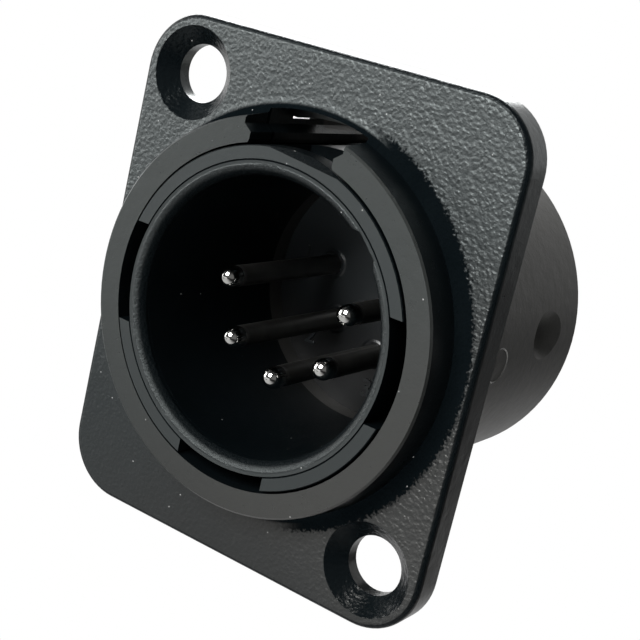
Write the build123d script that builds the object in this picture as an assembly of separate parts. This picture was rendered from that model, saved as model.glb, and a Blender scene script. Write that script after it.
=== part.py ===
from build123d import *
import os
from math import cos, radians, sin, sqrt, tan

# A five pole male panel connector with a rectangular screw flange.
# Lengths are in millimetres. The connector's axis is Y and it faces -Y.
# The flange's rear face, which lies on the panel, is the plane Y = 0, and +Z is up.

# Flange
flange_width = 26.0
flange_height = 31.0
flange_thickness = 2.3
flange_corner_radius = 3.7
flange_front_round = 0.4
flange_rear_chamfer = 0.25

# Screw holes on one diagonal, countersunk from the front
screw_spacing_x = 19.0
screw_spacing_z = 24.0
screw_hole_radius = 1.75
screw_sink_radius = 2.8
screw_rear_relief = 0.4

# Collar that stands proud of the flange, and its cast foot
collar_height = 2.4
collar_wall = 1.5
collar_draft = 0.21
collar_foot_rise = 0.3
collar_foot_spread = 0.89
collar_edge_break = 0.12

# Round can behind the flange
can_front_wall = 0.95
can_length = 16.45
can_rear_break = 0.35
can_rear_wall = 1.4

# Cup that the mating plug enters
cup_bore_radius = 8.1
cup_wall = 1.72
cup_depth = 14.7
barrel_gap = 0.13
barrel_proud = 0.12
barrel_press_length = 3.0
barrel_seat_thickness = 1.4
rim_edge_break = 0.06

# Three relief slots in the barrel's rim, at the left, the bottom and the right
rim_slot_width = 6.1
rim_slot_length = 8.0
rim_slot_depth = 0.87
rim_groove_width = 0.1
rim_groove_depth = 0.07

# Keyway along the bore
keyway_angle = 45.5
keyway_depth = 0.65
keyway_floor_width = 1.74
keyway_side_lean = 45.0

# Latch slot at the top of the collar, its side rails and the latch window under it
latch_slot_width = 6.7
latch_slot_margin = 0.24
latch_rail_reach = 0.52
latch_rail_rise = 0.57
latch_rail_slope = 0.4
latch_rail_nose = 0.4
latch_window_width = 4.4
latch_window_length = 3.8
latch_window_setback = 1.7
latch_bevel_depth = 0.35
latch_bevel_run = 0.6
latch_bevel_turn = 6.5

# Housing of the latch slot behind the flange, roofed in front, with a slit in each side wall
housing_wall = 0.55
housing_margin = 0.05
housing_roof_length = 3.2
housing_slit_length = 2.6
housing_slit_drop = 0.05
housing_slit_height = 0.14

# Contacts
contact_count = 5
contact_circle_radius = 4.29
contact_circle_rise = 0.38
contact_first_angle = 173.0
contact_step_angle = 50.0
pin_radius = 0.65
pin_reach = 12.2
pin_root_radius = 0.95
shoulder_radius = 1.3
shoulder_length = 1.2
solder_cup_radius = 1.15
solder_cup_bore_radius = 0.8
solder_cup_bore_depth = 4.5
solder_cup_mouth_length = 2.8
solder_cup_reach = 21.8

# Two part insulator that traps the contact shoulders
insulator_clearance = 0.1
front_insulator_thickness = 2.6
rear_insulator_thickness = 2.6
rear_boss_margin = 2.8
rear_boss_height = 1.6
rear_boss_chamfer = 0.3

# Dimples punched into the can's sides to lock the insulator, steep in front and run out behind
dimple_middle = 10.9
dimple_tip_radius = 1.0
dimple_depth = 0.6
dimple_reach = 3.0
dimple_wall_lean = 50.0
dimple_edge_lean = 28.0
dimple_tilt = 16.0
dimple_angle = 5.0
dimple_wall = 1.15

# Earth contact, a bent strip with a solder tag
strip_thickness = 0.4
strip_width = 2.6
strip_front = 13.8
strip_clearance = 0.1
finger_length = 2.4
finger_rise = 1.0
tag_reach = 20.8
tag_hole_radius = 0.7
tag_hole_setback = 1.7

# Places along the axis worked out from the sizes above
flange_front_y = -flange_thickness
rim_y = flange_front_y - collar_height
barrel_rim_y = rim_y - barrel_proud
insulator_face_y = rim_y + cup_depth
barrel_seat_y = insulator_face_y - barrel_seat_thickness
insulator_split_y = insulator_face_y + front_insulator_thickness
insulator_rear_y = insulator_split_y + rear_insulator_thickness
boss_rear_y = insulator_rear_y + rear_boss_height

# Radii worked outwards from the cup's bore
cup_outer_radius = cup_bore_radius + cup_wall
keyway_floor_radius = cup_bore_radius + keyway_depth
rim_slot_floor_radius = cup_outer_radius - rim_slot_depth
collar_bore_radius = cup_outer_radius + barrel_gap
collar_front_radius = collar_bore_radius + collar_wall
collar_foot_radius = collar_front_radius + collar_draft
latch_rail_top = collar_bore_radius + latch_rail_rise
latch_slot_radius = collar_foot_radius + latch_slot_margin
housing_radius = latch_slot_radius + housing_margin

# Radii of the can worked inwards from its wall
can_radius = collar_bore_radius + can_front_wall
housing_slit_low = can_radius - housing_slit_drop
rear_bore_radius = can_radius - can_rear_wall
insulator_radius = rear_bore_radius - insulator_clearance
rear_boss_radius = insulator_radius - rear_boss_margin
strip_seat_height = rear_bore_radius - strip_clearance - strip_thickness - finger_rise


def turned(*points):
    """Solid of revolution about Y from corner points given as radius, y."""
    outline = Polyline(*points, close=True)
    return revolve(make_face(outline), Axis.Y)


def rod(radius, y_from, y_to, x=0.0, z=0.0):
    """Plain cylinder along Y."""
    length = y_to - y_from
    middle = Location((x, (y_from + y_to) / 2, z), (90, 0, 0))
    return middle * Cylinder(radius, length)


def block(x_from, x_to, y_from, y_to, z_from, z_to):
    """Box between two corners."""
    size = Box(x_to - x_from, y_to - y_from, z_to - z_from)
    centre = Pos((x_from + x_to) / 2, (y_from + y_to) / 2, (z_from + z_to) / 2)
    return centre * size


def screw_places():
    """Centres of the two screw holes, top left and bottom right."""
    half_x = screw_spacing_x / 2
    half_z = screw_spacing_z / 2
    return [(-half_x, half_z), (half_x, -half_z)]


def contact_places():
    """Centres of the contacts, from the upper left one round the bottom."""
    places = []
    for index in range(contact_count):
        angle = radians(contact_first_angle + index * contact_step_angle)
        x = contact_circle_radius * cos(angle)
        z = contact_circle_rise + contact_circle_radius * sin(angle)
        places.append((x, z))
    return places


def both_dimples(tool, depth):
    """Sets a punch with its tip at that depth in both sides of the can, leaning to the rear."""
    tip = Location((can_radius - depth, dimple_middle, 0), (0, 90, 0))
    right = Rot(0, -dimple_angle, 0) * tip * Rot(-dimple_tilt, 0, 0) * tool
    return [right, mirror(right, Plane.YZ)]


def dimple_cuts():
    """Flared punches, so that each dimple's rear runs out softly on the can."""
    height = (dimple_reach - dimple_tip_radius) * tan(radians(dimple_wall_lean + dimple_edge_lean) / 2)
    lean = radians(dimple_wall_lean)
    flare = TangentArc((dimple_tip_radius, 0), (dimple_reach, height), tangent=(cos(lean), sin(lean)))
    rest = Polyline((dimple_reach, height), (0, height), (0, 0), (dimple_tip_radius, 0))
    punch = revolve(Plane.XZ * make_face(flare + rest), Axis.Z)
    return both_dimples(punch, dimple_depth)


def dimple_bulges(gap=0.0):
    """What the dimples push in on the inside of the can's wall, with room round it."""
    radius = dimple_tip_radius + dimple_wall / 2 + gap
    length = 4 * dimple_tip_radius
    punch = Pos(0, 0, length / 2) * Cylinder(radius, length)
    return both_dimples(punch, dimple_depth + dimple_wall + gap)


def flange_plate():
    """Rounded rectangle with a soft front edge and a broken rear edge."""
    outline = RectangleRounded(flange_width, flange_height, flange_corner_radius)
    plate = extrude(Plane.XZ * outline, flange_thickness)
    faces = plate.faces().sort_by(Axis.Y)
    plate = fillet(faces[0].edges(), flange_front_round)
    return chamfer(plate.faces().sort_by(Axis.Y)[-1].edges(), flange_rear_chamfer)


def collar_blank():
    """Raised collar with drafted wall and a hollow cast foot that runs out on the flange."""
    foot_y = flange_front_y - collar_foot_rise
    edge = collar_edge_break
    foot_end = (collar_foot_radius + collar_foot_spread, flange_front_y)
    wall = Polyline(
        foot_end,
        (foot_end[0], 0),
        (0, 0),
        (0, rim_y),
        (collar_front_radius - edge, rim_y),
        (collar_front_radius, rim_y + edge),
        (collar_foot_radius, foot_y),
    )
    foot = TangentArc(foot_end, (collar_foot_radius, foot_y), tangent=(-1, 0))
    return revolve(make_face(wall + foot), Axis.Y)


def can_blank():
    """Round body behind the flange with its pressed dimples."""
    rear_break = can_rear_break
    can = turned(
        (0, -flange_thickness / 2),
        (can_radius, -flange_thickness / 2),
        (can_radius, can_length - rear_break),
        (can_radius - rear_break, can_length),
        (0, can_length),
    )
    return can - dimple_cuts()


def shell_bores():
    """Front bore for the barrel, a narrower seat and the rear bore with its lock bumps."""
    overrun = 1.0
    front = rod(collar_bore_radius, rim_y - overrun, barrel_seat_y)
    seat = rod(cup_bore_radius, barrel_seat_y - overrun, insulator_face_y + overrun)
    rear = rod(rear_bore_radius, insulator_face_y, can_length + overrun)
    rear = rear - dimple_bulges()
    return [front, seat, rear]


def latch_slot():
    """Slot through the collar and the flange that goes on under the housing's roof and out of it."""
    half = latch_slot_width / 2
    front = rim_y - 1.0
    open_part = block(-half, half, front, 0, 0, latch_slot_radius) & rod(latch_slot_radius, front, 0)
    roof = housing_radius - housing_wall
    rear_part = block(-half, half, 0, barrel_seat_y, 0, roof) & rod(roof, 0, barrel_seat_y)
    roofless = block(-half, half, housing_roof_length, barrel_seat_y, 0, housing_radius + 1)
    return [open_part, rear_part, roofless]


def latch_rails():
    """Low noses along both side walls of the latch slot, down to the collar's bore."""
    half = latch_slot_width / 2
    root = half + 0.3
    nose_x = half - latch_rail_reach
    nose_high = latch_rail_top - latch_rail_slope
    nose_low = nose_high - latch_rail_nose
    low = collar_bore_radius - 1
    rails = []
    for side in (-1, 1):
        outline = Polyline(
            (side * root, low),
            (side * (nose_x + latch_rail_reach / 2), low),
            (side * nose_x, nose_low),
            (side * nose_x, nose_high),
            (side * half, latch_rail_top),
            (side * root, latch_rail_top),
            close=True,
        )
        face = Plane.XZ.offset(-barrel_seat_y) * make_face(outline)
        rail = extrude(face, barrel_seat_y - rim_y)
        rails.append(rail - rod(collar_bore_radius, rim_y - 1, barrel_seat_y + 1))
    return rails


def latch_housing():
    """Block behind the flange that the latch slot is cut into."""
    half = latch_slot_width / 2 + housing_wall
    front = -flange_thickness / 2
    rear = barrel_seat_y + housing_wall
    low = rear_bore_radius
    box = block(-half, half, front, rear, low, housing_radius)
    return box & rod(housing_radius, front, rear)


def housing_slits():
    """Slits at the foot of the housing's side walls, just behind the flange."""
    half = latch_slot_width / 2 + housing_wall + 1
    return block(
        -half, half, 0, housing_slit_length, housing_slit_low, housing_slit_low + housing_slit_height
    )


def screw_hole(x, z):
    """Countersunk hole whose straight part ends in a relief at the rear."""
    sink_depth = screw_sink_radius - screw_hole_radius
    relief = screw_hole_radius + screw_rear_relief
    overrun = 0.5
    hole = turned(
        (0, flange_front_y - overrun),
        (screw_sink_radius + overrun, flange_front_y - overrun),
        (screw_hole_radius, flange_front_y + sink_depth),
        (screw_hole_radius, -screw_rear_relief),
        (relief, 0),
        (relief, overrun),
        (0, overrun),
    )
    return Pos(x, 0, z) * hole


def front_shell():
    """Die cast flange, collar and can in one piece."""
    shell = flange_plate() + collar_blank() + can_blank() + latch_housing()
    shell = shell - shell_bores()
    shell = shell - latch_slot() - housing_slits()
    shell = shell + latch_rails()
    return shell - [screw_hole(x, z) for x, z in screw_places()]


def rim_slots():
    """Relief slots cut in from the barrel's rim, outside the bore's wall."""
    half = rim_slot_width / 2
    reach = cup_outer_radius + 1
    y_from = rim_y - 1
    y_to = rim_y + rim_slot_length
    left = block(-reach, 0, y_from, y_to, -half, half)
    bottom = block(-half, half, y_from, y_to, -reach, 0)
    right = block(0, reach, y_from, y_to, -half, half)
    core = rod(rim_slot_floor_radius, y_from, y_to)
    return [left - core, bottom - core, right - core]


def keyway():
    """Groove with leaning sides along the whole bore."""
    depth = keyway_floor_radius - cup_bore_radius / 2
    half_floor = keyway_floor_width / 2
    flare = (keyway_floor_radius - cup_bore_radius) * sin(radians(keyway_side_lean)) * sqrt(2)
    half_mouth = half_floor + flare
    outline = Polyline(
        (keyway_floor_radius, half_floor),
        (cup_bore_radius, half_mouth),
        (keyway_floor_radius - depth, half_mouth),
        (keyway_floor_radius - depth, -half_mouth),
        (cup_bore_radius, -half_mouth),
        (keyway_floor_radius, -half_floor),
        close=True,
    )
    overrun = 1.0
    place = Plane.XZ.offset(-barrel_seat_y - overrun) * Rot(0, 0, keyway_angle)
    return extrude(place * make_face(outline), barrel_seat_y - rim_y + 2 * overrun)


def latch_window():
    """Window in the top of the barrel for the mating plug's latch."""
    half = latch_window_width / 2
    y_from = rim_y + latch_window_setback
    return block(-half, half, y_from, y_from + latch_window_length, 0, cup_outer_radius + 1)


def latch_bevel():
    """Flat bevel on the barrel's outer edge where the latch rides up on it."""
    reach = 1.0
    rise = reach * latch_bevel_depth / latch_bevel_run
    low = cup_outer_radius - latch_bevel_depth
    outline = Polyline(
        (barrel_rim_y - reach, low - rise),
        (barrel_rim_y + latch_bevel_run + reach, cup_outer_radius + rise),
        (barrel_rim_y - reach, cup_outer_radius + rise),
        close=True,
    )
    wedge = extrude(Plane.YZ * make_face(outline), cup_outer_radius, both=True)
    return Rot(0, latch_bevel_turn, 0) * wedge


def cup_barrel():
    """Inner barrel: bore with a rounded lead-in, keyway, latch window and three rim slots."""
    press_y = barrel_seat_y - barrel_press_length
    edge = rim_edge_break
    sleeve_radius = rim_slot_floor_radius
    lead_y = barrel_rim_y + sleeve_radius - cup_bore_radius
    wall = Polyline(
        (sleeve_radius, barrel_rim_y),
        (sleeve_radius + rim_groove_width / 2, barrel_rim_y + rim_groove_depth),
        (sleeve_radius + rim_groove_width, barrel_rim_y),
        (cup_outer_radius - edge, barrel_rim_y),
        (cup_outer_radius, barrel_rim_y + edge),
        (cup_outer_radius, press_y - barrel_gap),
        (collar_bore_radius, press_y),
        (collar_bore_radius, barrel_seat_y),
        (cup_bore_radius, barrel_seat_y),
        (cup_bore_radius, lead_y),
    )
    lead_in = TangentArc((cup_bore_radius, lead_y), (sleeve_radius, barrel_rim_y), tangent=(0, -1))
    barrel = revolve(make_face(wall + lead_in), Axis.Y)
    return barrel - rim_slots() - keyway() - latch_window() - latch_bevel()


def front_insulator():
    """Moulded disc at the bottom of the cup, bored for the pins and their shoulders."""
    disc = rod(insulator_radius, insulator_face_y, insulator_split_y)
    for x, z in contact_places():
        disc -= rod(pin_root_radius, insulator_face_y, insulator_split_y, x, z)
        disc -= rod(shoulder_radius, insulator_split_y - shoulder_length, insulator_split_y, x, z)
    return disc - dimple_bulges(insulator_clearance)


def strip_slot():
    """Slot in the top of the rear insulator that the earth strip lies in."""
    half = strip_width / 2 + strip_clearance
    return block(
        -half, half, strip_front, boss_rear_y, strip_seat_height, insulator_radius + 1
    )


def rear_insulator():
    """Moulded rear half with a raised boss round the solder cups."""
    disc = rod(insulator_radius, insulator_split_y, insulator_rear_y)
    boss = turned(
        (0, insulator_rear_y),
        (rear_boss_radius, insulator_rear_y),
        (rear_boss_radius, boss_rear_y - rear_boss_chamfer),
        (rear_boss_radius - rear_boss_chamfer, boss_rear_y),
        (0, boss_rear_y),
    )
    body = disc + boss
    for x, z in contact_places():
        body -= rod(solder_cup_radius, insulator_split_y, boss_rear_y, x, z)
    body -= dimple_bulges(insulator_clearance)
    return body - strip_slot()


def contact(x, z):
    """Turned contact: round nosed pin, trapped shoulder and scooped solder cup."""
    tip_y = insulator_face_y - pin_reach
    nose_y = tip_y + pin_radius
    shoulder_y = insulator_split_y - shoulder_length
    nose = RadiusArc((pin_radius, nose_y), (0, tip_y), pin_radius)
    body = Polyline(
        (0, tip_y),
        (0, solder_cup_reach),
        (solder_cup_radius, solder_cup_reach),
        (solder_cup_radius, insulator_split_y),
        (shoulder_radius, insulator_split_y),
        (shoulder_radius, shoulder_y),
        (pin_root_radius, shoulder_y),
        (pin_root_radius, insulator_face_y),
        (pin_radius, insulator_face_y),
        (pin_radius, nose_y),
    )
    piece = revolve(make_face(nose + body), Axis.Y)
    piece -= rod(solder_cup_bore_radius, solder_cup_reach - solder_cup_bore_depth, solder_cup_reach)
    reach = solder_cup_radius + 1
    mouth_y = solder_cup_reach - solder_cup_mouth_length
    piece -= block(-reach, reach, mouth_y, solder_cup_reach + 1, 0, reach)
    return Pos(x, 0, z) * piece


def earth_contact():
    """Sprung strip that presses on the can's wall and ends in a solder tag."""
    low = strip_seat_height
    fold_y = strip_front + strip_thickness / 2
    middle = low + strip_thickness / 2
    tip = (fold_y + finger_length, middle + finger_rise)
    line = Polyline(
        (tag_reach, middle),
        (fold_y, middle),
        (fold_y, middle + finger_rise / 2),
        tip,
    )
    face = Plane.YZ.offset(-strip_width / 2) * trace(line, strip_thickness)
    strip = extrude(face, strip_width)
    hole_y = tag_reach - tag_hole_setback
    hole = Pos(0, hole_y, middle) * Cylinder(tag_hole_radius, 4 * strip_thickness)
    return strip - hole


def save(solid, name):
    export_step(solid, f"parts/{name}.step")


os.makedirs("parts", exist_ok=True)
save(front_shell(), "front_shell")
save(cup_barrel(), "cup_barrel")
save(front_insulator(), "front_insulator")
save(rear_insulator(), "rear_insulator")
for number, (x, z) in enumerate(contact_places(), start=1):
    save(contact(x, z), f"contact_pin_{number}")
save(earth_contact(), "earth_contact")
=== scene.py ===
import bpy
from math import cos, pi, radians, sin, sqrt
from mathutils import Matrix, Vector


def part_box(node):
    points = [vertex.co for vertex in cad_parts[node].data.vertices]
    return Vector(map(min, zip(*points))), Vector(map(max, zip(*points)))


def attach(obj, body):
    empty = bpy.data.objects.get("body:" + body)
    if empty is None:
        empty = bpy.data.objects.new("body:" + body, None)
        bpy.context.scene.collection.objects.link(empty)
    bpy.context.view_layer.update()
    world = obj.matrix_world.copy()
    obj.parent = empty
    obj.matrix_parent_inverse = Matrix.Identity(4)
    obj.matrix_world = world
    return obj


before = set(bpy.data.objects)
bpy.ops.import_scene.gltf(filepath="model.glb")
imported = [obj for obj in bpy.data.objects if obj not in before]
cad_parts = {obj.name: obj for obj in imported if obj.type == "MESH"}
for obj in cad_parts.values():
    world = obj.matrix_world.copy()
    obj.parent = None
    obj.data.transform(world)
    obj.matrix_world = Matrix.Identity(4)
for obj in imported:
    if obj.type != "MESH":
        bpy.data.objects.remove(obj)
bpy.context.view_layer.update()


# Front shell: one zinc die casting with the flange, the collar round the cup and the rear can.
# It is sprayed with a satin black coat. The mould gives the flange's front a leather grain that
# runs up the cast foot of the collar, and leaves the walls, the collar's face and the can smooth.
def connect(tree, value, socket):
    """Links a socket to another socket, or sets it to a value."""
    if isinstance(value, bpy.types.NodeSocket):
        tree.links.new(value, socket)
    else:
        socket.default_value = value


def add(tree, kind, **sockets):
    """Puts a node in the tree with its sockets connected, i0 being the first socket and so on."""
    node = tree.nodes.new(kind)
    for name, value in sockets.items():
        numbered = name[0] == "i" and name[1:].isdigit()
        connect(tree, value, node.inputs[int(name[1:]) if numbered else name.replace("_", " ")])
    return node


def maths(tree, operation, first, second=0.0):
    node = add(tree, "ShaderNodeMath", i0=first, i1=second)
    node.operation = operation
    return node.outputs[0]


def times(tree, first, *others):
    for other in others:
        first = maths(tree, "MULTIPLY", first, other)
    return first


def plus(tree, first, *others):
    for other in others:
        first = maths(tree, "ADD", first, other)
    return first


def spread(tree, mask_value, least, most):
    """The least where a mask is 0 and the most where it is 1."""
    return plus(tree, times(tree, mask_value, most - least), least)


def dimmed(tree, value, mask_value, share):
    """A value that loses a share of itself where a mask is 1."""
    return times(tree, value, spread(tree, mask_value, 1.0, 1.0 - share))


def mask(tree, value, *edges):
    """1 within all its edges, each given by where it is still 0 and where it is fully 1."""
    steps = []
    for none, full in edges:
        step = add(tree, "ShaderNodeMapRange", Value=value, From_Min=none, From_Max=full)
        step.interpolation_type = "SMOOTHSTEP"
        steps.append(step.outputs[0])
    return times(tree, *steps)


def split(tree, vector):
    """How far a vector goes sideways, back and up."""
    parts = add(tree, "ShaderNodeSeparateXYZ", Vector=vector).outputs
    return parts["X"], parts["Y"], parts["Z"]


def reach(tree, vector, direction):
    """How far a vector goes in a direction."""
    node = add(tree, "ShaderNodeVectorMath", i0=vector, i1=direction)
    node.operation = "DOT_PRODUCT"
    return node.outputs["Value"]


def new_finish(name):
    """A new material with its tree, its shader and the place on the part, in metres."""
    finish = bpy.data.materials.new(name)
    finish.use_nodes = True
    tree = finish.node_tree
    place = tree.nodes.new("ShaderNodeTexCoord").outputs["Object"]
    return finish, tree, tree.nodes["Principled BSDF"], place


def facing_in(tree):
    """-1 on a face that looks forward, 0 on a wall that runs back and 1 on a rear face."""
    return split(tree, tree.nodes.new("ShaderNodeTexCoord").outputs["Normal"])[1]


def noise(tree, place, scale, detail, roughness=0.5):
    cloud = add(
        tree, "ShaderNodeTexNoise",
        Vector=place, Scale=scale, Detail=detail, Roughness=roughness,
    )
    return cloud.outputs["Fac"]


def bump(tree, height, depth, under=None):
    """Relief of some depth, laid over the relief under it."""
    node = add(tree, "ShaderNodeBump", Height=height, Distance=depth, Strength=1.0)
    if under is not None:
        connect(tree, under, node.inputs["Normal"])
    return node.outputs["Normal"]


def mix_colour(tree, amount, low, high):
    node = tree.nodes.new("ShaderNodeMix")
    node.data_type = "RGBA"
    for number, value in ((0, amount), (6, low), (7, high)):
        connect(tree, value, node.inputs[number])
    return node.outputs[2]


def dust(tree, place, scale, size, share):
    """Small round specks in a share of the cells, 1 on a speck and 0 elsewhere."""
    cells = add(tree, "ShaderNodeTexVoronoi", Vector=place, Scale=scale, Randomness=1.0)
    lot = add(tree, "ShaderNodeSeparateColor", Color=cells.outputs["Color"]).outputs["Red"]
    chosen = maths(tree, "LESS_THAN", lot, share)
    return times(tree, mask(tree, cells.outputs["Distance"], (size, size / 2)), chosen)


def set_looks(tree, surface, **looks):
    """Connects the shader's sockets, each named as the shader names it."""
    for name, value in looks.items():
        connect(tree, value, surface.inputs[name.replace("_", " ")])


def dress(name, finish):
    """Puts a finish on one of the solids."""
    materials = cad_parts[name].data.materials
    materials.clear()
    materials.append(finish)


# Depth runs back from the flange's rear face and height runs up from the cup's axis. A hair, for
# reliefs and for the softness of edges, is a hundredth of a millimetre.
hair = 0.00001
flange_front = -0.0023
foot_rise = 0.0003
foot_top = flange_front - foot_rise

# Edges of the masks below, each given by where a mask is 0 and where it is 1. They go by depth,
# height or distance from the middle, in metres, or by facing.
grain_depth = ((flange_front + 8 * hair, flange_front + 2 * hair), (foot_top - 2 * hair, foot_top + 4 * hair))
flange_depth = (foot_top - 4 * hair, foot_top + 2 * hair)
cone_depth = (flange_front - hair, flange_front + hair)
foot_depth = ((flange_front + 2 * hair, flange_front - 10 * hair), (foot_top - 8 * hair, foot_top + hair))
foot_band_reach = (0.0133, 0.0129)
foot_band_side = (0.0020, 0.0055)
wall_depth = (foot_top, foot_top - 10 * hair)
collar_depth = (foot_top - 100 * hair, foot_top - 150 * hair)
rear_depth = (-10 * hair, 20 * hair)
slot_height = (0.0088, 0.0094)
slot_depth = (0.0036, 0.0033)
slot_half = (0.0068, 0.0062)
housing_depth = (0.0074, 0.0064)
housing_half = (0.0031, 0.0029)
forward_facing = (-0.35, -0.75)
cone_facing = ((-0.80, -0.74), (-0.62, -0.68))
rounded_facing = ((-0.985, -0.94), (-0.35, -0.60))
wall_facing = (-0.45, -0.25)
slot_facing = (-0.75, -0.35)

coat_dark = (0.0014, 0.0024, 0.0030, 1)
coat_light = (0.0030, 0.0045, 0.0053, 1)
coat_rear = (0.018, 0.018, 0.0168, 1)
coat_collar = (0.0098, 0.0106, 0.0102, 1)
dust_grey = (0.22, 0.22, 0.215, 1)
cool_shine = (0.92, 1.0, 0.99, 1)
warm_shine = (1.0, 0.99, 0.95, 1)

cast_coat, tree, surface, place = new_finish("cast_black_coat")
sideways, depth, height = split(tree, place)
off_middle = maths(tree, "ABSOLUTE", sideways)
facing = facing_in(tree)
forward = mask(tree, facing, forward_facing)
grained = times(tree, mask(tree, depth, *grain_depth), forward)
in_cone = times(tree, mask(tree, facing, *cone_facing), mask(tree, depth, cone_depth))
on_collar = times(tree, mask(tree, depth, collar_depth), forward)

# The slot is the cut through collar and flange with the roofed part of its housing, and the
# housing's walls go on behind the roof. All of it is kept as black as the front, not the can's
# grey, a painted shade for the shade inside the slot.
shaded_slot = times(
    tree,
    mask(tree, height, slot_height), mask(tree, depth, slot_depth), mask(tree, off_middle, slot_half),
)
in_housing = times(
    tree,
    mask(tree, height, slot_height), mask(tree, depth, housing_depth), mask(tree, off_middle, housing_half),
)
shaded_slot = times(tree, maths(tree, "MAXIMUM", shaded_slot, in_housing), mask(tree, facing, slot_facing))
behind = dimmed(tree, mask(tree, depth, rear_depth), shaded_slot, share=1.0)

# The grain is deepest at the flange's upper right and shallow at its lower left. The cones of
# the screw holes have a third of it.
wrinkle = noise(tree, place, scale=5200.0, detail=1.5)
pebble = add(tree, "ShaderNodeTexVoronoi", Vector=place, Scale=4300.0, Randomness=1.0)
pebble.feature = "SMOOTH_F1"
leather = plus(tree, times(tree, wrinkle, 0.75), times(tree, pebble.outputs["Distance"], -0.9))
high = mask(tree, reach(tree, place, (0.45, 0.0, 0.89)), (-0.014, -0.004))
deep = times(tree, spread(tree, high, 0.38, 1.0), grained)
deep = maths(tree, "MAXIMUM", deep, times(tree, in_cone, 0.35))
leather = times(tree, leather, spread(tree, deep, 0.06, 1.0))
spray = noise(tree, place, scale=9000.0, detail=2.0, roughness=0.6)
mottle = noise(tree, place, scale=1400.0, detail=3.0, roughness=0.6)
relief = bump(tree, leather, depth=6 * hair)
relief = bump(tree, mottle, depth=3 * hair, under=relief)
relief = bump(tree, spray, depth=0.5 * hair, under=relief)

# The coat's colour is nearly even, a little greyer on the collar's face and on the can.
coat = mix_colour(tree, noise(tree, place, scale=420.0, detail=3.0), coat_dark, coat_light)
coat = mix_colour(tree, behind, coat, coat_rear)
coat = mix_colour(tree, on_collar, coat, coat_collar)
specks = times(tree, dust(tree, place, scale=1500.0, size=0.085, share=0.16), forward)
coat = mix_colour(tree, specks, coat, dust_grey)

rough = spread(tree, spray, 0.21, 0.31)
for part_mask, rougher in ((mottle, 0.08), (behind, 0.20), (deep, 0.19), (in_cone, -0.14)):
    rough = plus(tree, rough, times(tree, part_mask, rougher))

# The gloss is low on the flange's rounded edges, in the slot, on the collar's walls and low on
# the flange, a painted shade where these lie in shade, and fullest at the upper right, a painted
# sheen. On the foot's step and in a ragged band beside it, on the right, it is lost, a painted
# shade along the foot.
rounded = times(tree, mask(tree, facing, *rounded_facing), mask(tree, depth, flange_depth))
flat_place = add(tree, "ShaderNodeVectorMath", i0=place, i1=(1.0, 0.0, 1.0))
flat_place.operation = "MULTIPLY"
from_axis = add(tree, "ShaderNodeVectorMath", i0=flat_place.outputs["Vector"])
from_axis.operation = "LENGTH"
ragged = plus(tree, from_axis.outputs["Value"], times(tree, wrinkle, 90 * hair))
foot_band = times(tree, mask(tree, ragged, foot_band_reach), grained, mask(tree, sideways, foot_band_side))
shaded_foot = maths(tree, "MAXIMUM", mask(tree, depth, *foot_depth), foot_band)
shaded_wall = times(tree, mask(tree, facing, wall_facing), mask(tree, depth, wall_depth))
# A painted sheen: the gloss is fuller towards the flange's upper right.
shine = spread(tree, high, 0.68, 1.0)
for part_mask, loss in ((rounded, 0.84), (shaded_slot, 0.55), (shaded_wall, 0.75)):
    shine = dimmed(tree, shine, part_mask, loss)
shine = times(tree, shine, mask(tree, shaded_foot, (0.95, 0.0)))
# A painted reflection: the shine is tinted warm towards the flange's lower right, as on the can.
warm_reflection = mask(tree, reach(tree, place, (0.6, 0.0, -0.8)), (-0.001, 0.012))
tint = mix_colour(tree, maths(tree, "MAXIMUM", behind, warm_reflection), cool_shine, warm_shine)
set_looks(
    tree, surface,
    Base_Color=coat, Roughness=rough, Normal=relief, Specular_IOR_Level=shine, Specular_Tint=tint,
)
dress("front_shell", cast_coat)


# Ejector rings: two thin rings cast with the can, one on each side, where pins pushed the
# casting out of its mould. They are coloured grey, a painted highlight for the light that catches
# their crests.
def ring_faces(steps, rows, outward):
    """Faces of a ring whose points are given row by row at each step round it."""
    faces = []
    for step in range(steps):
        here = rows * step
        after = rows * ((step + 1) % steps)
        for row in range(rows):
            above = (row + 1) % rows
            corners = (here + row, here + above, after + above, after + row)
            faces.append(corners if outward else corners[::-1])
    return faces


can_wall = 0.0109
ring_depth = 0.0053
ring_height = -0.0002
ring_radius = 0.00105
ring_width = 6 * hair
ring_rise = 6 * hair
ring_sink = hair
ring_steps = 72
ring_profile = (
    (ring_radius - ring_width, -ring_sink),
    (ring_radius, ring_rise),
    (ring_radius + ring_width, -ring_sink),
)

ring_highlight, tree, surface, place = new_finish("ring_highlight_grey")
ring_tone = noise(tree, place, scale=2500.0, detail=2.0)
set_looks(
    tree, surface,
    Base_Color=mix_colour(tree, ring_tone, (0.10, 0.10, 0.096, 1), (0.20, 0.20, 0.19, 1)),
    Roughness=spread(tree, ring_tone, 0.30, 0.45), Normal=bump(tree, ring_tone, depth=0.4 * hair),
)

for name, side in (("ejector_ring_right", 1), ("ejector_ring_left", -1)):
    points = []
    for step in range(ring_steps):
        turn = 2 * pi * step / ring_steps
        for radius, rise in ring_profile:
            up = ring_height + radius * sin(turn)
            out = sqrt(can_wall ** 2 - up ** 2) + rise
            points.append((side * out, ring_depth + radius * cos(turn), up))
    mesh = bpy.data.meshes.new("ejector_ring")
    mesh.from_pydata(points, [], ring_faces(ring_steps, len(ring_profile), side > 0))
    mesh.materials.append(ring_highlight)
    ring = bpy.data.objects.new(name, mesh)
    bpy.context.scene.collection.objects.link(ring)
    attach(ring, "root")


# Cup barrel: the ring that lines the cup, die cast like the shell and pressed into it from the
# front. It has the same coat, grainy where the spray caught its rounded lead-in.
barrel_dark = (0.0010, 0.0019, 0.0024, 1)
barrel_light = (0.0019, 0.0031, 0.0038, 1)
lead_in_facing = ((-0.995, -0.95), (-0.15, -0.35))
inner_facing = (-0.96, -0.70)
inner_depth = (-0.0010, 0.0)

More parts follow.
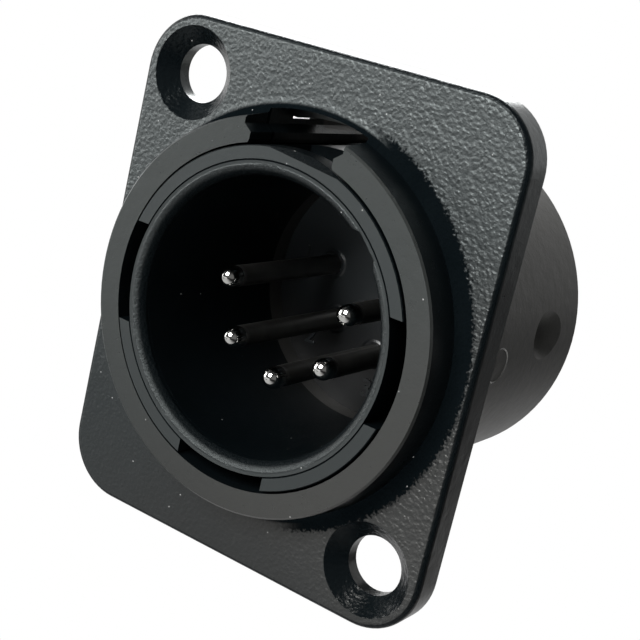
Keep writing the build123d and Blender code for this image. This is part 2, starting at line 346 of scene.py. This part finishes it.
barrel_coat, tree, surface, place = new_finish("barrel_black_coat")
facing = facing_in(tree)
lead_in = mask(tree, facing, *lead_in_facing)
# Painted shade: gloss nearly taken off the barrel's walls and off it all behind the flange.
shaded_inside = maths(
    tree, "MAXIMUM",
    mask(tree, facing, inner_facing), mask(tree, split(tree, place)[1], inner_depth),
)
spray = noise(tree, place, scale=9000.0, detail=2.0, roughness=0.6)
pits = noise(tree, place, scale=5000.0, detail=3.0, roughness=0.7)
pits = times(tree, pits, spread(tree, lead_in, 0.1, 1.0))
coat = mix_colour(tree, noise(tree, place, scale=500.0, detail=3.0), barrel_dark, barrel_light)
specks = dust(tree, place, scale=1500.0, size=0.085, share=0.14)
set_looks(
    tree, surface,
    Base_Color=mix_colour(tree, specks, coat, dust_grey),
    Roughness=plus(tree, spread(tree, spray, 0.30, 0.44), times(tree, lead_in, 0.18)),
    Normal=bump(tree, spray, depth=0.4 * hair, under=bump(tree, pits, depth=9 * hair)),
    Specular_IOR_Level=dimmed(tree, spread(tree, lead_in, 1.0, 0.65), shaded_inside, 0.92),
    Specular_Tint=cool_shine,
)
dress("cup_barrel", barrel_coat)


# Insulator: two discs moulded in black plastic, seated in the barrel, that trap the contacts
# between them. The plastic is glossy, and it is painted paler towards its top than low down: a
# painted light for the light that falls on its upper part.
plastic, tree, surface, place = new_finish("moulded_black_plastic")
pores = noise(tree, place, scale=7000.0, detail=3.0, roughness=0.6)
cloud = noise(tree, place, scale=350.0, detail=3.0)
shaded_plastic = mix_colour(tree, cloud, (0.0030, 0.0035, 0.0038, 1), (0.0045, 0.0050, 0.0054, 1))
lit_plastic = mix_colour(tree, cloud, (0.019, 0.0240, 0.0265, 1), (0.027, 0.0330, 0.0360, 1))
set_looks(
    tree, surface,
    Base_Color=mix_colour(tree, mask(tree, split(tree, place)[2], (-0.004, 0.004)), shaded_plastic, lit_plastic),
    Roughness=spread(tree, pores, 0.26, 0.38), Normal=bump(tree, pores, depth=0.8 * hair),
)
for name in ("front_insulator", "rear_insulator"):
    dress(name, plastic)


# Figures: the numbers 1 to 5 beside the pins, raised on the front disc and moulded with it.
# They run round the disc in steps of fifty degrees, one outside each pin.
insulator_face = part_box("front_insulator")[0][1]
figure_size = 0.0017
figure_rise = 8 * hair
figure_bevel = 2 * hair
figure_circle = 0.0064
figure_circle_height = 0.0001
pin_angles = [173.0 + 50.0 * index for index in range(5)]
for index, angle in enumerate(pin_angles):
    text = bpy.data.curves.new("figure", "FONT")
    text.body = str(index + 1)
    text.size = figure_size
    text.align_x = "CENTER"
    text.align_y = "CENTER"
    text.extrude = figure_rise / 2
    text.bevel_depth = figure_bevel
    holder = bpy.data.objects.new("figure_holder", text)
    mesh = bpy.data.meshes.new_from_object(holder)
    bpy.data.objects.remove(holder)
    mesh.materials.clear()
    mesh.materials.append(plastic)
    figure = bpy.data.objects.new(f"pin_figure_{index + 1}", mesh)
    bpy.context.scene.collection.objects.link(figure)
    figure.location = (
        figure_circle * cos(radians(angle)),
        insulator_face - figure_rise / 2,
        figure_circle_height + figure_circle * sin(radians(angle)),
    )
    figure.rotation_euler = (radians(90), 0, 0)
    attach(figure, "root")


# Pin lips: a low round ring of plastic at the foot of each pin, moulded with the front disc.
# The pin comes through its middle.
lip_inner = 0.00065
lip_outer = 0.00105
lip_rise = 5 * hair
lip_crown = 6 * hair
lip_sink = 2 * hair
lip_steps = 48
lip_profile = (
    (lip_inner, lip_sink),
    (lip_inner, -lip_rise),
    ((lip_inner + lip_outer) / 2, -lip_crown),
    (lip_outer, lip_sink),
)
pin_circle = 0.00429
pin_circle_height = 0.00038
for index, angle in enumerate(pin_angles):
    across = pin_circle * cos(radians(angle))
    up = pin_circle_height + pin_circle * sin(radians(angle))
    points = []
    for step in range(lip_steps):
        turn = 2 * pi * step / lip_steps
        for radius, sink in lip_profile:
            points.append((across + radius * cos(turn), insulator_face + sink, up + radius * sin(turn)))
    mesh = bpy.data.meshes.new("pin_lip")
    mesh.from_pydata(points, [], ring_faces(lip_steps, len(lip_profile), outward=False))
    mesh.materials.append(plastic)
    lip = bpy.data.objects.new(f"pin_lip_{index + 1}", mesh)
    bpy.context.scene.collection.objects.link(lip)
    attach(lip, "root")


# Contacts: turned brass pins with a silver plate, bright on the nose and duller and painted
# darker down the shaft, a painted shade for the shade the shafts stand in. They are trapped by
# their shoulders between the two discs and end in scooped solder cups.
nose_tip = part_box("contact_pin_1")[0][1]
nose_end = (nose_tip + 0.0007, nose_tip + 0.0016)
shaft_end = (insulator_face + 0.0010, insulator_face)

silver, tree, surface, place = new_finish("silver_plate")
stretched = add(tree, "ShaderNodeMapping", Vector=place, Scale=(300.0, 9000.0, 300.0)).outputs[0]
turning = noise(tree, stretched, scale=1.0, detail=2.0)
tarnish = noise(tree, place, scale=900.0, detail=3.0, roughness=0.6)
shaft_shade = mask(tree, split(tree, place)[1], nose_end, shaft_end)
plate = mix_colour(tree, tarnish, (0.66, 0.65, 0.62, 1), (0.80, 0.80, 0.78, 1))
shaded_plate = mix_colour(tree, tarnish, (0.10, 0.10, 0.095, 1), (0.18, 0.18, 0.17, 1))
set_looks(
    tree, surface,
    Base_Color=mix_colour(tree, shaft_shade, plate, shaded_plate), Metallic=1.0,
    Roughness=plus(tree, spread(tree, tarnish, 0.06, 0.14), times(tree, shaft_shade, 0.30)),
    Normal=bump(tree, turning, depth=0.2 * hair),
)
for index in range(5):
    dress(f"contact_pin_{index + 1}", silver)


# Earth contact: a sprung bronze strip with a tinned finish that touches the can's wall
# and ends in a solder tag. It is rolled sheet, so its streaks run along its length.
tinned, tree, surface, place = new_finish("tinned_strip")
stretched = add(tree, "ShaderNodeMapping", Vector=place, Scale=(6000.0, 300.0, 6000.0)).outputs[0]
rolling = noise(tree, stretched, scale=1.0, detail=3.0)
set_looks(
    tree, surface,
    Base_Color=mix_colour(tree, rolling, (0.50, 0.49, 0.46, 1), (0.66, 0.65, 0.62, 1)), Metallic=1.0,
    Roughness=spread(tree, rolling, 0.25, 0.45), Normal=bump(tree, rolling, depth=0.3 * hair),
)
dress("earth_contact", tinned)


# Floor: a plain white sheet some way under the part, which hangs as it does on its panel.
# It is white to the eye, and its mirror image is dimmer to the right, away from the window.
def open_view(tree):
    """Two masks: 1 for rays that show the camera a pale background, and 1 for rays of gloss."""
    rays = tree.nodes.new("ShaderNodeLightPath").outputs
    straight = maths(tree, "MAXIMUM", rays["Is Camera Ray"], rays["Is Transmission Ray"])
    return straight, rays["Is Glossy Ray"]


floor_level = -0.05
floor_half = 3.0
mesh = bpy.data.meshes.new("floor")
floor_corners = (
    (-floor_half, -floor_half, 0), (floor_half, -floor_half, 0),
    (floor_half, floor_half, 0), (-floor_half, floor_half, 0),
)
mesh.from_pydata(floor_corners, [], [(0, 1, 2, 3)])
white, tree, surface, place = new_finish("white_floor")
set_looks(tree, surface, Base_Color=(0.8, 0.8, 0.8, 1), Roughness=0.8)

# What gloss sees of it: bright on the left and dim on the right, and somewhat brighter both
# behind the part and far in front of it.
across, away, _ = split(tree, place)
mirrored = spread(tree, mask(tree, across, (0.08, -0.01)), 0.015, 0.565)
mirrored = times(tree, mirrored, spread(tree, mask(tree, away, (0.0, 0.10)), 1.0, 1.5))
mirrored = times(tree, mirrored, spread(tree, mask(tree, away, (-0.20, -0.45)), 1.0, 1.4))
mirrored = plus(tree, mirrored, times(tree, mask(tree, away, (0.24, 0.40)), 0.25))

straight, glossy = open_view(tree)
strength = maths(tree, "MAXIMUM", times(tree, mirrored, glossy), straight)
glow = add(tree, "ShaderNodeEmission", Color=(1, 1, 1, 1), Strength=strength)
seen = maths(tree, "MAXIMUM", straight, glossy)
blend = add(tree, "ShaderNodeMixShader", i0=seen, i1=surface.outputs[0], i2=glow.outputs[0])
connect(tree, blend.outputs[0], tree.nodes["Material Output"].inputs["Surface"])
mesh.materials.append(white)
floor = bpy.data.objects.new("floor", mesh)
floor.location.z = floor_level
bpy.context.scene.collection.objects.link(floor)


# Light: a pale room that is bright on the left and behind and darker on the right, with square
# soft boxes on the left, behind on the left, over the rear and over the front.
world = bpy.data.worlds.new("pale_room")
world.use_nodes = True
tree = world.node_tree
way = tree.nodes.new("ShaderNodeTexCoord").outputs["Generated"]

# A window on the left, a pale wall behind and a weak glow in front on the right, each with its
# direction, how near to that direction it fades in and is full, and its strength.
room = 0.025
for direction, edge, glow_level in (
    ((-0.9, 0.2, 0.1), (0.35, 0.95), 0.4),
    ((-0.15, 0.97, 0.0), (0.45, 0.95), 0.7),
    ((0.85, -0.5, 0.0), (0.5, 0.9), 0.12),
):
    towards = reach(tree, way, Vector(direction).normalized())
    room = plus(tree, times(tree, mask(tree, towards, edge), glow_level), room)
straight, _ = open_view(tree)
level = add(tree, "ShaderNodeMix", i0=straight, i2=room, i3=1.0)
level.data_type = "FLOAT"
set_looks(tree, tree.nodes["Background"], Color=(1, 1, 1, 1), Strength=level.outputs[0])
bpy.context.scene.world = world

box_distance = 0.40


def soft_box(name, turn, lift, size, power):
    """A square soft box aimed at the part, at an angle from the front and a height angle."""
    lamp = bpy.data.lights.new(name, "AREA")
    lamp.shape = "SQUARE"
    lamp.size = size
    lamp.energy = power
    box = bpy.data.objects.new(name, lamp)
    bpy.context.scene.collection.objects.link(box)
    turn = radians(turn)
    lift = radians(lift)
    way = Vector((sin(turn) * cos(lift), -cos(turn) * cos(lift), sin(lift)))
    box.location = way * box_distance
    box.rotation_euler = way.to_track_quat("Z", "Y").to_euler()


soft_box("soft_box_left", turn=-72, lift=8, size=0.24, power=1.0)
soft_box("soft_box_rear", turn=-148, lift=22, size=0.24, power=0.8)
soft_box("soft_box_top", turn=-140, lift=52, size=0.24, power=2.4)
soft_box("soft_box_front", turn=-8, lift=34, size=0.20, power=3.0)


# Camera: right of the axis and a little above it, as the part was photographed.
# Its place, turn, lens and shift were solved from the flange's corners and the cup's circles.
eye = bpy.data.cameras.new("camera")
eye.lens = 78.685
eye.sensor_width = 36.0
eye.shift_x = 0.03125
eye.shift_y = -0.0547
eye.clip_start = 0.005
camera = bpy.data.objects.new("camera", eye)
camera.location = (0.041595, -0.068407, 0.020965)
camera.rotation_euler = (radians(76.055), radians(-12.566), radians(34.59))
bpy.context.scene.collection.objects.link(camera)
bpy.context.scene.camera = camera

bpy.context.scene.view_settings.view_transform = "Standard"
